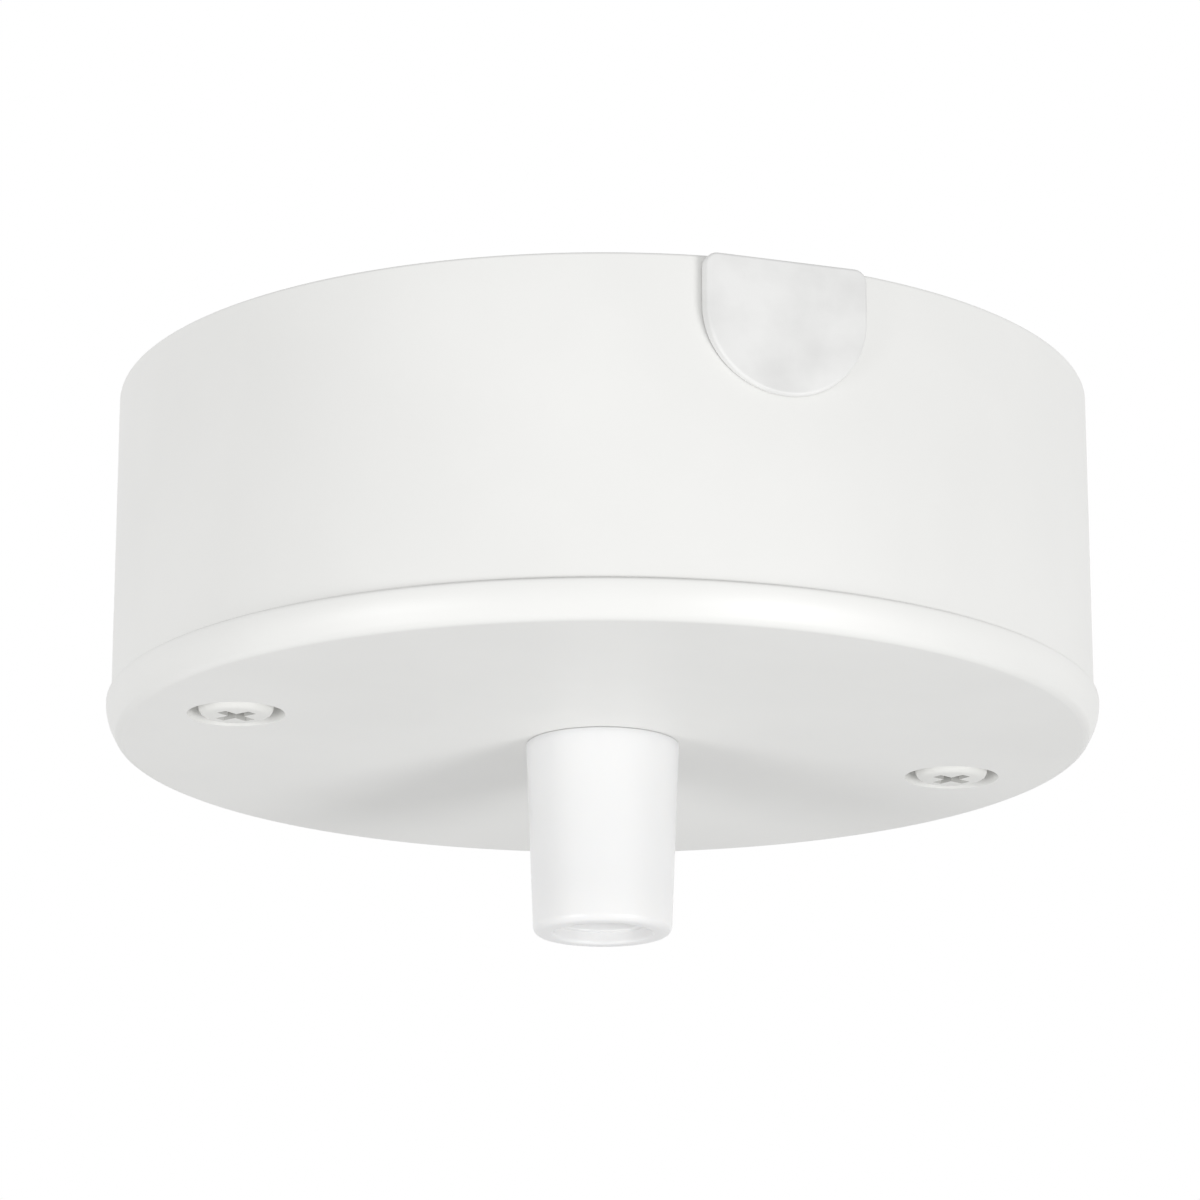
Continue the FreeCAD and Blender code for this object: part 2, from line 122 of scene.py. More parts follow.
# Cup
SHELL_DRAFT = 0.1
SHELL_INNER_R = SHELL_R - 2.4
FLOOR = -2.5
RIM_ROUND = 0.3
SEAM_ROUND = 0.16
FLOOR_ROUND = 1.0
BOSS_R = 4.6
RIB_HALF = 0.8
INSERT_R = 2.75
INSERT_BORE = 1.8
INSERT_LENGTH = 8.0
INSERT_GAP = 0.02
INSERT_WAIST = 0.35
INSERT_MOUTH_ROUND = 0.12
SCREW_HOLE_R = 1.95
BOSS_HOLE = 12.0
FIXING_X = 25.4
FIXING_PAD = (6.2, 0.8)  # radius and height
FIXING_SLOT = (8.0, 4.4)  # length and width
CABLE_HOLE_R = 10.0
CABLE_COLLAR = (11.6, 1.5)  # radius and height
POST_R = 3.4
POST_HOLE_R = 1.5
POST_HOLE_TOP = -1.2

# Side entry and its plate
ENTRY = (12.6, 11.3)  # width and depth below the ceiling
PLATE = (16.0, 13.0)
PLATE_CORNER = 1.2
PLATE_FACE = low("entry_blank", Y)
PLATE_EDGE_ROUND = 0.3
PLATE_GAP = 0.06  # between the plate's back and the wall
NECK_GAP = (0.2, 0.1)  # how much narrower and shallower the neck is than the entry
NECK_START = 0.3  # behind the plate's face
NECK_INTO_FLANGE = 0.05
FLANGE_R = (44.84, 46.04)  # inner and outer radius of the flange behind the wall
NOTCH_GAP = 0.25
NOTCH_LOW = FLOOR - 1.1
NOTCH_BACK = -40.0

# Cover
FACE = COVER_EDGE + 0.25
PLATE_TOP = FACE + 2.35
COVER_TAPER = 1.15
COVER_SHOULDER = 1.5
COVER_ROUNDS = (0.28, 1.0, 0.6)  # at the seam, on the shoulder and at the face
LIP_ROUNDS = (0.2, 0.3)  # inside and outside
FLAT_R = 12.0
LIP_R = SHELL_INNER_R - 0.2
LIP_INNER_R = LIP_R - 1.4
HUB_R = 9.4
RIB_COUNT = 6
COVER_RIB_HALF = 0.6
POCKET_R = 4.75
POCKET_WALL = 1.3
POCKET_ROUND = 0.12
RIB_END = LIP_R - 0.7
KEY = (5.1, 4.7)  # radius and half width over the flats of the nipple's hole

# Cord grip
CORD_R = 4.1
CAP_TOP_R = 7.55
CAP_END_R = 6.8
CAP_CLOSE = 0.07  # how much of the CAD's gap to the face is closed for the look
CAP_TOP_ROUND = 0.1
CAP_END_ROUND = 0.7
CAP_BORE = 5.8
MOUTH_R = 4.82
MOUTH_DEPTH = 1.2
MOUTH_ROUND = 0.3
THROAT_R = 4.3
THROAT_ROUND = 0.15
LEDGE = 2.5
FLANGE_ROOM = (6.35, 1.65)  # radius and depth of the cap's counterbore
ROOM_ROUND = 0.05
NIPPLE_CREST = 5.75
NIPPLE_ROOT = 5.45
NIPPLE_FLANGE = (6.2, 1.5)  # radius and thickness
NIPPLE_FLANGE_ROUND = 0.2
SHANK_CREST = 5.0
SHANK_ROOT = 4.72
SHANK_FLAT = 4.6
CONE_R = 5.3
CONE_DEPTH = 3.0
SEAT_R = 4.6
SEAT_DEPTH = 4.2
GRIP_PITCH = 1.0
NUT_SIDES = 6
NUT_CORNER = 14.0 / math.sqrt(3)
NUT_FLAT_R = NUT_CORNER * math.cos(math.pi / NUT_SIDES)
NUT_CHAMFER = 0.8  # height of the corner's chamfer for each millimetre that it goes in
NUT_ROUND = 0.15
NUT_WASHER_R = 8.0
WASHER_GAP = 0.1
WASHER_ROUND = 0.12
COLLAR_R = 5.65
COLLET_GAP = 0.1
COLLAR_GAP = 0.4
COLLET_SLOTS = 4
COLLET_SLOT_HALF = 0.4
COLLET_ROUND = 0.15

# Screws
SHANK_R = 1.75
SHANK_ROOT_R = 1.45
SCREW_PITCH = 0.6
HEAD_PROUD = 0.3  # how far the heads show below the CAD's crown, as the photograph has them
HEAD_ROUND = 0.9
RECESS_HALF = (2.2, 0.6)  # half length and half width of a cross arm at the crown
RECESS_DEPTH = 1.9
RECESS_FOOT = (0.5, 0.8)  # shares of that length and width at the bottom
RECESS_MOUTH = 1.2  # share of that length where the cut starts, outside the head
RECESS_SKIN = 0.05  # faces nearer than this to the crown keep the head's enamel; deeper faces get the painted shade of the cross
HEAD_SEAT_ROUND = 0.12
PLAIN_SHANK = 0.6  # above the washer, and the thread starts half way
THREAD_PLAY = 0.03  # how far the thread stays inside the plain shank's radius
TIP_ROUND = 0.4
SCREW_WASHER_R = 4.1
CLAMP_SCREW = (1.45, 2.05)  # shank and head radius
CLAMP_HEAD = 1.6
FIXING_SCREW = (1.45, 2.9)
FIXING_HEAD = 2.0
DRIVER_SLOT = (0.3, 0.9)  # half width and depth
SLOTTED_THREAD = 0.22  # depth
SLOTTED_ROUNDS = (0.35, 0.3)  # on the head and at the tip

# Terminal block
SLAB = 2.4
WAY_WALL = 1.2
WAY_ROUND = 1.6
WAY_ROUND_STEPS = 8
BLOCK_EDGE_ROUND = 0.18
TERMINAL_EDGE_ROUND = 0.1
TERMINAL_HALF = 3.1
TERMINAL_GAP = 0.1
WIRE_R = 1.9
WIRE_ENTRY_R = 2.5
TOWER_R = 3.15
WELL_R = 2.25
EAR_HOLE_R = 1.65
END_WALL = 1.5
WIRE_Z = TERMINAL_HIGH - TERMINAL_HALF
WAYS = ("neutral", "earth", "line")


def mesh_object(bm, name):
    """Object at the origin from a bmesh, which is freed."""
    mesh = bpy.data.meshes.new(name)
    bm.to_mesh(mesh)
    bm.free()
    piece = bpy.data.objects.new(name, mesh)
    bpy.context.scene.collection.objects.link(piece)
    return piece


def soften(bm, on_edge, rounding, segments=4):
    """Rounds the edges whose two ends pass the test."""
    edges = [e for e in bm.edges if on_edge(e.verts[0].co) and on_edge(e.verts[1].co)]
    bmesh.ops.bevel(bm, geom=edges, offset=rounding * MM, offset_type="OFFSET", segments=segments,
                    profile=0.5, affect="EDGES", material=-1, clamp_overlap=True)


def on_ring(radius, z):
    """Test for the points of a level ring."""
    return lambda v: abs(math.hypot(v.x, v.y) - radius * MM) < TINY and abs(v.z - z * MM) < TINY


def lathe(corners, steps=RIM_STEPS, at=(0.0, 0.0)):
    """Turned solid about a vertical axis through at.

    corners go round its closed outline as (radius, z, rounding).
    """
    bm = bmesh.new()
    verts = [bm.verts.new((r * MM, 0, z * MM)) for r, z, _ in corners]
    pairs = list(zip(verts, verts[1:] + verts[:1]))
    edges = [bm.edges.new(pair) for pair in pairs if max(v.co.x for v in pair) > 0]
    bmesh.ops.spin(bm, geom=verts + edges, cent=(0, 0, 0), axis=Z_AXIS, angle=math.tau, steps=steps,
                   use_merge=True)
    bmesh.ops.remove_doubles(bm, verts=bm.verts, dist=WELD)
    bmesh.ops.recalc_face_normals(bm, faces=bm.faces)
    for r, z, rounding in corners:
        if rounding:
            soften(bm, on_ring(r, z), rounding)
    bmesh.ops.translate(bm, verts=bm.verts, vec=(at[0] * MM, at[1] * MM, 0))
    return bm


def rod(radius, z_low, z_high, x=0.0, y=0.0, steps=SMALL_STEPS):
    return lathe([(0, z_low, 0), (radius, z_low, 0), (radius, z_high, 0), (0, z_high, 0)], steps, (x, y))


def rod_along_y(radius, y_low, y_high, x, z):
    bm = rod(radius, y_low, y_high)
    bmesh.ops.rotate(bm, cent=(0, 0, 0), matrix=Matrix.Rotation(math.radians(-90), 3, "X"), verts=bm.verts)
    bmesh.ops.translate(bm, vec=(x * MM, 0, z * MM), verts=bm.verts)
    return bm


def tube(outer, inner, z_low, z_high, rounding, steps=SMALL_STEPS, at=(0.0, 0.0)):
    """Ring with its four edges rounded."""
    return lathe([(inner, z_low, rounding), (outer, z_low, rounding), (outer, z_high, rounding),
                  (inner, z_high, rounding)], steps, at)


def slab(x_low, x_high, y_low, y_high, z_low, z_high):
    """Rectangular solid between the given levels."""
    bm = bmesh.new()
    bmesh.ops.create_cube(bm, size=1)
    size = (x_high - x_low, y_high - y_low, z_high - z_low)
    centre = ((x_low + x_high) / 2, (y_low + y_high) / 2, (z_low + z_high) / 2)
    bmesh.ops.scale(bm, vec=[s * MM for s in size], verts=bm.verts)
    bmesh.ops.translate(bm, vec=[c * MM for c in centre], verts=bm.verts)
    return bm


def turn_about_z(bm, degrees):
    turn = Matrix.Rotation(math.radians(degrees), 3, "Z")
    bmesh.ops.rotate(bm, cent=(0, 0, 0), matrix=turn, verts=bm.verts)
    return bm


def prism_along_y(outline, y_low, y_high, rounds=()):
    """Solid along Y from (x, z) corners; rounds lists (corner number, radius, segments)."""
    bm = bmesh.new()
    verts = [bm.verts.new((x * MM, y_low * MM, z * MM)) for x, z in outline]
    bm.faces.new(verts)
    for number, radius, segments in rounds:
        bmesh.ops.bevel(bm, geom=[verts[number]], offset=radius * MM, offset_type="OFFSET",
                        segments=segments, profile=0.5, affect="VERTICES", material=-1)
    made = bmesh.ops.extrude_face_region(bm, geom=bm.faces[:])["geom"]
    moved = [g for g in made if isinstance(g, bmesh.types.BMVert)]
    bmesh.ops.translate(bm, vec=(0, (y_high - y_low) * MM, 0), verts=moved)
    bmesh.ops.recalc_face_normals(bm, faces=bm.faces)
    return bm


def hung_u(size, y_low, y_high, corner=0.0):
    """U-shaped solid along Y: flat at the ceiling, with straight sides and a half-round bottom."""
    width, depth = size
    half = width / 2
    top = 0 if corner else PAST
    outline = [(-half, top), (-half, -depth), (half, -depth), (half, top)]
    rounds = [(1, half - SHORT, HALF_ROUND_STEPS), (2, half - SHORT, HALF_ROUND_STEPS)]
    if corner:
        rounds += [(0, corner, CORNER_STEPS), (3, corner, CORNER_STEPS)]
    return prism_along_y(outline, y_low, y_high, rounds)


def thread(root, crest, pitch, z_low, z_high):
    """Helical ridge that stands out of a bar of radius root, with its crest at radius crest."""
    bm = bmesh.new()
    sunk = root - THREAD_SUNK
    profile = [(sunk, THREAD_FOOT), (crest, THREAD_CREST), (crest, 1 - THREAD_CREST), (sunk, 1 - THREAD_FOOT)]
    verts = [bm.verts.new((r * MM, 0, (z_low + share * pitch) * MM)) for r, share in profile]
    face = bm.faces.new(verts)
    turns = (z_high - z_low) / pitch - 1
    steps = round(turns * THREAD_STEPS)
    rise = Vector((0, 0, turns * pitch * MM / steps))
    bmesh.ops.spin(bm, geom=verts + list(face.edges) + [face], cent=(0, 0, 0), axis=Z_AXIS, dvec=rise,
                   angle=math.tau * turns, steps=steps)
    bmesh.ops.remove_doubles(bm, verts=bm.verts, dist=WELD)
    bmesh.ops.recalc_face_normals(bm, faces=bm.faces)
    return bm


def combine(bm, others, operation):
    """bm with the other bmeshes added (UNION), taken away (DIFFERENCE) or kept in common (INTERSECT).

    The solver's own tolerances suit larger things, so the solids are grown while it works.
    """
    for solid in [bm] + others:
        bmesh.ops.scale(solid, vec=(GROWTH, GROWTH, GROWTH), verts=solid.verts)
    piece = mesh_object(bm, "work")
    helpers = []
    for other in others:
        helper = mesh_object(other, "helper")
        helpers.append(helper)
        step = piece.modifiers.new("step", "BOOLEAN")
        step.operation = operation
        step.solver = "MANIFOLD"
        step.object = helper
    bpy.context.view_layer.update()
    graph = bpy.context.evaluated_depsgraph_get()
    result = bmesh.new()
    result.from_mesh(piece.evaluated_get(graph).to_mesh())
    for used in [piece] + helpers:
        mesh = used.data
        bpy.data.objects.remove(used)
        bpy.data.meshes.remove(mesh)
    bmesh.ops.scale(result, vec=(1 / GROWTH, 1 / GROWTH, 1 / GROWTH), verts=result.verts)
    bmesh.ops.remove_doubles(result, verts=result.verts, dist=WELD)
    return result


def finish_piece(bm, name, body, material, node, crease=35, edge_round=0.0):
    """Turns a bmesh into a named piece that rides on its body and stands for a CAD node."""
    piece = mesh_object(bm, name)
    piece.data.shade_smooth()
    piece.data.set_sharp_from_angle(angle=math.radians(crease))
    if edge_round:
        rounding = piece.modifiers.new("edge_round", "BEVEL")
        rounding.width = edge_round * MM
        rounding.segments = 2
        rounding.limit_method = "ANGLE"
        rounding.angle_limit = math.radians(crease)
        rounding.use_clamp_overlap = True
    normals = piece.modifiers.new("normals", "WEIGHTED_NORMAL")
    normals.keep_sharp = True
    piece.data.materials.append(material)
    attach(piece, body)
    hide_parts(node)
    return piece


def colour(code):
    """Linear colour from an sRGB hex code such as #F0F0EE."""
    channels = [int(code[i:i + 2], 16) / 255 for i in (1, 3, 5)]
    linear = [c / 12.92 if c <= 0.04045 else ((c + 0.055) / 1.055) ** 2.4 for c in channels]
    return (*linear, 1.0)


def add_node(tree, kind, settings=None, inputs=None, links=None):
    """Adds a shader node with its settings, socket values and links from other nodes' outputs."""
    made = tree.nodes.new(kind)
    for name, value in (settings or {}).items():
        setattr(made, name, value)
    for name, value in (inputs or {}).items():
        made.inputs[name].default_value = value
    for name, output in (links or {}).items():
        tree.links.new(output, made.inputs[name])
    return made


def start_material(name):
    """Empty node material with its output node."""
    material = bpy.data.materials.new(name)
    material.use_nodes = True
    tree = material.node_tree
    tree.nodes.clear()
    return material, tree, tree.nodes.new("ShaderNodeOutputMaterial")


def two_tones(tree, fac, dark, light, start=0.35, stop=0.65):
    """Colour ramp between two close tones."""
    ramp = add_node(tree, "ShaderNodeValToRGB", links={"Fac": fac})
    ramp.color_ramp.elements[0].position = start
    ramp.color_ramp.elements[1].position = stop
    ramp.color_ramp.elements[0].color = colour(dark)
    ramp.color_ramp.elements[1].color = colour(light)
    return ramp.outputs["Color"]


# Moulded plastics: the melt's flow leaves a faint cloudy tone, and the eroded steel of the mould prints a
# grain, drawn coarser than the real 0.05 mm so that it shows
PLASTIC_IOR = 1.53
GLOSS_SPREAD = 0.04  # how far the roughness strays with the clouds
GRAIN_STRENGTH = 0.5
GLOW_DEPTH = 1.5  # how far light passes into white nylon
GLOW_TINT = (1.0, 0.97, 0.93)  # red light goes a little further than blue

# Turned metals: fine marks that run round the axis, so the pattern is squeezed along it
MARK_SQUEEZE = (1.0, 1.0, 6.0)
MARK_STRENGTH = 0.3
MARK_DEPTH = 0.02


def moulded_plastic(name, light, dark, roughness, grain, grain_height, glow=0.0, cloud=22.0):
    """Moulded plastic; grain, grain_height and cloud are millimetres, glow is the share of light let in."""
    material, tree, output = start_material(name)
    place = add_node(tree, "ShaderNodeTexCoord").outputs["Object"]
    clouds = add_node(tree, "ShaderNodeTexNoise", inputs={"Scale": 1 / (cloud * MM), "Detail": 3.0},
                      links={"Vector": place})
    grains = add_node(tree, "ShaderNodeTexNoise", inputs={"Scale": 1 / (grain * MM), "Detail": 2.0},
                      links={"Vector": place})
    relief = {"Strength": GRAIN_STRENGTH, "Distance": grain_height * MM}
    bump = add_node(tree, "ShaderNodeBump", inputs=relief, links={"Height": grains.outputs["Fac"]})
    spread = {"To Min": roughness - GLOSS_SPREAD, "To Max": roughness + GLOSS_SPREAD}
    gloss = add_node(tree, "ShaderNodeMapRange", inputs=spread, links={"Value": clouds.outputs["Fac"]})
    inputs = {"IOR": PLASTIC_IOR}
    if glow:
        inputs["Subsurface Weight"] = glow
        inputs["Subsurface Radius"] = GLOW_TINT
        inputs["Subsurface Scale"] = GLOW_DEPTH * MM
    shader = add_node(tree, "ShaderNodeBsdfPrincipled", inputs=inputs,
                      links={"Base Color": two_tones(tree, clouds.outputs["Fac"], dark, light),
                             "Roughness": gloss.outputs["Result"], "Normal": bump.outputs["Normal"]})
    tree.links.new(shader.outputs["BSDF"], output.inputs["Surface"])
    return material


def turned_metal(name, light, dark, roughness, mark):
    """Metal with tool marks about mark millimetres apart round its axis, which draw its highlights out."""
    material, tree, output = start_material(name)
    place = add_node(tree, "ShaderNodeTexCoord").outputs["Object"]
    around = add_node(tree, "ShaderNodeMapping", inputs={"Scale": MARK_SQUEEZE}, links={"Vector": place})
    marks = add_node(tree, "ShaderNodeTexNoise", inputs={"Scale": 1 / (mark * MM), "Detail": 3.0},
                     links={"Vector": around.outputs["Vector"]})
    bump = add_node(tree, "ShaderNodeBump", inputs={"Strength": MARK_STRENGTH, "Distance": MARK_DEPTH * MM},
                    links={"Height": marks.outputs["Fac"]})
    shader = add_node(tree, "ShaderNodeBsdfPrincipled", inputs={"Metallic": 1.0, "Roughness": roughness},
                      links={"Base Color": two_tones(tree, marks.outputs["Fac"], dark, light, 0.2, 0.8),
                             "Normal": bump.outputs["Normal"]})
    tree.links.new(shader.outputs["BSDF"], output.inputs["Surface"])
    return material


# Satin white ABS, as the cup and the cover are: soft, wide highlights and a very fine grain
CUP_ABS = moulded_plastic("satin_abs_cup", "#F1F1EF", "#EEEEEC", 0.42, 0.35, 0.008)
COVER_ABS = moulded_plastic("satin_abs_cover", "#EFEFED", "#ECECEA", 0.42, 0.35, 0.008)
# The side plate comes from a coarser tool: a shade greyer and duller, blotchy, with a grain that shows
PLATE_ABS = moulded_plastic("coarse_abs_plate", "#ECECEB", "#E0E0DF", 0.5, 0.9, 0.03, cloud=7.0)
# White nylon of the cord grip: whiter, slicker, and light passes a little way into it
CAP_NYLON = moulded_plastic("white_nylon_cap", "#F0F0F0", "#EEEEEE", 0.36, 0.3, 0.004, 0.6)
INNER_NYLON = moulded_plastic("white_nylon_fittings", "#F4F4F2", "#F0F0EE", 0.38, 0.3, 0.004, 0.25)
# Heat-proof polyamide of the terminal body: creamy, with a dull face
BLOCK_POLYAMIDE = moulded_plastic("cream_polyamide_block", "#E9E7DF", "#E3E1D8", 0.5, 0.4, 0.01)
# White stove enamel on the cover screws: a smooth, fairly glossy coat that fills the steel's marks
SCREW_ENAMEL = moulded_plastic("stove_enamelled_screw", "#EAEAE7", "#E6E6E3", 0.36, 0.5, 0.004)
# The same enamel in the cross, painted a darker grey: painted shade in the recess
RECESS_PAINTED_SHADE = moulded_plastic("stove_enamel_recess_painted_shade", "#C6C6C3", "#B8B8B5", 0.45, 0.5, 0.004)
# Turned brass of the terminals and sleeves: warm yellow with fine lathe marks
BRASS = turned_metal("turned_brass", "#DDBB74", "#CDA65A", 0.28, 0.35)
# Bright zinc on steel screws and the washer: cold grey, a little cloudy
ZINC = turned_metal("bright_zinc_on_steel", "#CDD0D3", "#B9BCC0", 0.32, 0.5)


# Cup


def housing_shell():
    bm = lathe([(0, 0, 0), (SHELL_R - SHELL_DRAFT, 0, RIM_ROUND), (SHELL_R, SEAM, SEAM_ROUND),
                (SHELL_INNER_R, SEAM, SEAM_ROUND), (SHELL_INNER_R, FLOOR, FLOOR_ROUND), (0, FLOOR, 0)])
    collar_r, collar_height = CABLE_COLLAR
    pad_r, pad_height = FIXING_PAD
    sunk = FLOOR + SUNK
    added = [rod(collar_r, FLOOR - collar_height, sunk, steps=GRIP_STEPS)]
    cuts = [rod(CABLE_HOLE_R, FLOOR - collar_height - PAST, PAST, steps=GRIP_STEPS)]
    for side in (-1, 1):
        boss_x = side * SCREW_X
        wall_x = side * (SHELL_INNER_R + PAST)
        added.append(rod(BOSS_R, BOSS_END, sunk, boss_x))
        added.append(slab(min(boss_x, wall_x), max(boss_x, wall_x), -RIB_HALF, RIB_HALF, BOSS_END, sunk))
        added.append(rod(pad_r, FLOOR - pad_height, sunk, side * FIXING_X))
        added.append(rod(POST_R, BLOCK_TOP, sunk, side * EAR_X, BLOCK_Y))
        insert_end = BOSS_END + INSERT_LENGTH + INSERT_GAP
        cuts.append(rod(INSERT_R + INSERT_GAP, BOSS_END - PAST, insert_end, boss_x))
        cuts.append(rod(SCREW_HOLE_R, BOSS_END - PAST, BOSS_END + BOSS_HOLE, boss_x))
        cuts.append(rod(POST_HOLE_R, BLOCK_TOP - PAST, POST_HOLE_TOP, side * EAR_X, BLOCK_Y))
        cuts += fixing_slot(side * FIXING_X)
    bm = combine(bm, added, "UNION")
    cuts.append(hung_u(ENTRY, -SHELL_R - PAST, -FLANGE_R[0] + NOTCH_GAP))
    half = PLATE[0] / 2 + NOTCH_GAP
    notch = slab(-half, half, -SHELL_INNER_R, NOTCH_BACK, NOTCH_LOW, PAST)
    ring = tube(SHELL_INNER_R, FLANGE_R[0] - NOTCH_GAP, NOTCH_LOW - PAST, 2 * PAST, 0, RIM_STEPS)
    cuts.append(combine(notch, [ring], "INTERSECT"))
    bm = combine(bm, cuts, "DIFFERENCE")
    return finish_piece(bm, "cup", "housing", CUP_ABS, "housing_shell")


def fixing_slot(x):
    """Round-ended slot through the floor and its pad, as three cutting solids."""
    length, width = FIXING_SLOT
    reach = (length - width) / 2
    below = FLOOR - FIXING_PAD[1] - PAST
    return [slab(x - reach, x + reach, -width / 2, width / 2, below, PAST),
            rod(width / 2, below, PAST, x - reach), rod(width / 2, below, PAST, x + reach)]


def entry_blank():
    """Flat plate outside the wall, a neck in the slot and a curved flange inside."""
    back = -SHELL_INNER_R + PLATE[0] / 2
    plate = hung_u(PLATE, PLATE_FACE, back, PLATE_CORNER)
    soften(plate, lambda v: abs(v.y - PLATE_FACE * MM) < TINY, PLATE_EDGE_ROUND, segments=5)
    plate = combine(plate, [rod(SHELL_R + PLATE_GAP, -PLATE[1] - PAST, PAST, steps=RIM_STEPS)], "DIFFERENCE")
    flange = hung_u(PLATE, PLATE_FACE, back, PLATE_CORNER)
    behind = tube(FLANGE_R[1], FLANGE_R[0], -PLATE[1] - PAST, PAST, 0, RIM_STEPS)
    flange = combine(flange, [behind], "INTERSECT")
    neck_size = (ENTRY[0] - NECK_GAP[0], ENTRY[1] - NECK_GAP[1])
    neck = hung_u(neck_size, PLATE_FACE + NECK_START, back, SHORT)
    inside = rod(FLANGE_R[0] + NECK_INTO_FLANGE, -PLATE[1] - PAST, PAST, steps=RIM_STEPS)
    neck = combine(neck, [inside], "DIFFERENCE")
    bm = combine(plate, [neck, flange], "UNION")
    return finish_piece(bm, "entry_plate", "blank", PLATE_ABS, "entry_blank")


# Cover


def cover():
    seam_round, shoulder_round, face_round = COVER_ROUNDS
    bm = lathe([(0, PLATE_TOP, 0), (LIP_INNER_R, PLATE_TOP, 0), (LIP_INNER_R, LIP_TOP, LIP_ROUNDS[0]),
                (LIP_R, LIP_TOP, LIP_ROUNDS[1]), (LIP_R, SEAM, 0), (COVER_R, SEAM, seam_round),
                (COVER_R, SEAM - COVER_SHOULDER, shoulder_round),
                (COVER_R - COVER_TAPER, COVER_EDGE, face_round), (FLAT_R, FACE, 0), (0, FACE, 0)])
    sunk = PLATE_TOP - SUNK
    added = [rod(HUB_R, sunk, HUB, steps=GRIP_STEPS)]
    cuts = []
    for i in range(RIB_COUNT):
        rib = slab(0, RIB_END, -COVER_RIB_HALF, COVER_RIB_HALF, sunk, HUB)
        added.append(turn_about_z(rib, (i + 0.5) * 360 / RIB_COUNT))
    for x in (-SCREW_X, SCREW_X):
        added.append(rod(POCKET_R + POCKET_WALL, sunk, LIP_TOP, x))
        cuts.append(rod(POCKET_R, COVER_EDGE - PAST, POCKET_FLOOR, x, steps=GRIP_STEPS))
        cuts.append(rod(SCREW_HOLE_R, POCKET_FLOOR - PAST, LIP_TOP + PAST, x))
    bm = combine(bm, added, "UNION")
    key_r, key_half = KEY
    key = rod(key_r, COVER_EDGE - PAST, HUB + PAST, steps=GRIP_STEPS)
    flats = slab(-key_half, key_half, -key_r - PAST, key_r + PAST, COVER_EDGE - 2 * PAST, HUB + 2 * PAST)
    cuts.append(combine(key, [flats], "INTERSECT"))
    bm = combine(bm, cuts, "DIFFERENCE")
    soften_pockets(bm)
    return finish_piece(bm, "cover_moulding", "cover", COVER_ABS, "cover")


def soften_pockets(bm):
    """Takes the sharp edge off the rims of the screw pockets."""
    for x in (-SCREW_X, SCREW_X):
        soften(bm, lambda v: abs(math.hypot(v.x - x * MM, v.y) - POCKET_R * MM) < TINY and v.z < FACE * MM,
               POCKET_ROUND, segments=3)


# Cord grip


def grip_cap():
    ledge = CAP_END + MOUTH_DEPTH + LEDGE
    room_r, room_depth = FLANGE_ROOM
    top = CAP_TOP + CAP_CLOSE
    step = CAP_END + MOUTH_DEPTH
    bm = lathe([(room_r, top, ROOM_ROUND), (CAP_TOP_R, top, CAP_TOP_ROUND),
                (CAP_END_R, CAP_END, CAP_END_ROUND), (MOUTH_R, CAP_END, MOUTH_ROUND), (MOUTH_R, step, 0),
                (THROAT_R, step, THROAT_ROUND), (THROAT_R, ledge, BROKEN), (CAP_BORE, ledge, 0),
                (CAP_BORE, FACE - room_depth, 0), (room_r, FACE - room_depth, 0)], GRIP_STEPS)
    return finish_piece(bm, "grip_sleeve", "cap", CAP_NYLON, "grip_cap")


def grip_nipple():
    """Threaded tube: flange under the cover's face, coarse thread for the cap, keyed thread for the nut."""
    flange_r, flange_thick = NIPPLE_FLANGE
    under = FACE - flange_thick
    core = lathe([(0, FACE, 0), (flange_r, FACE, NIPPLE_FLANGE_ROUND), (flange_r, under, NIPPLE_FLANGE_ROUND),
                  (NIPPLE_ROOT, under, 0), (NIPPLE_ROOT, NIPPLE_END, 0), (CONE_R, NIPPLE_END, 0),
                  (SEAT_R, NIPPLE_END + CONE_DEPTH, 0), (SEAT_R, NIPPLE_END + SEAT_DEPTH, 0),
                  (0, NIPPLE_END + SEAT_DEPTH, 0)], GRIP_STEPS)
    ridge = thread(NIPPLE_ROOT, NIPPLE_CREST, GRIP_PITCH, NIPPLE_END + THREAD_END, under - THREAD_END)
    shank = lathe([(0, FACE - PAST, 0), (SHANK_ROOT, FACE - PAST, 0), (SHANK_ROOT, NIPPLE_TOP, BROKEN),
                   (0, NIPPLE_TOP, 0)], GRIP_STEPS)
    keyed = thread(SHANK_ROOT, SHANK_CREST, GRIP_PITCH, FACE + THREAD_END, NIPPLE_TOP - THREAD_END)
    shank = combine(shank, [keyed], "UNION")
    flats = slab(-SHANK_FLAT, SHANK_FLAT, -SHANK_CREST - PAST, SHANK_CREST + PAST, FACE - 2 * PAST,
                 NIPPLE_TOP + PAST)
    shank = combine(shank, [flats], "INTERSECT")
    bm = combine(core, [ridge, shank], "UNION")
    bore = rod(CORD_R, NIPPLE_END, NIPPLE_TOP + PAST, steps=GRIP_STEPS)
    bm = combine(bm, [bore], "DIFFERENCE")
    return finish_piece(bm, "nipple_tube", "cover", INNER_NYLON, "grip_nipple")


def grip_nut():
    """Hexagon whose upper corners are turned off by a cone."""
    prism = rod(NUT_CORNER, NUT_LOW, NUT_HIGH + PAST, steps=NUT_SIDES)
    top_r = NUT_FLAT_R - BROKEN
    foot_r = NUT_CORNER + PAST
    fall = (foot_r - top_r) * NUT_CHAMFER
    cone = lathe([(0, NUT_LOW - PAST, 0), (foot_r, NUT_LOW - PAST, 0), (foot_r, NUT_HIGH - fall, 0),
                  (top_r, NUT_HIGH, 0), (0, NUT_HIGH, 0)], GRIP_STEPS)
    bm = combine(prism, [cone], "INTERSECT")
    bore = rod(SHANK_CREST + THREAD_ROOM, NUT_LOW - PAST, NUT_HIGH + PAST, steps=GRIP_STEPS)
    bm = combine(bm, [bore], "DIFFERENCE")
    return finish_piece(bm, "lock_nut", "cover", INNER_NYLON, "grip_nut",
                        edge_round=NUT_ROUND)


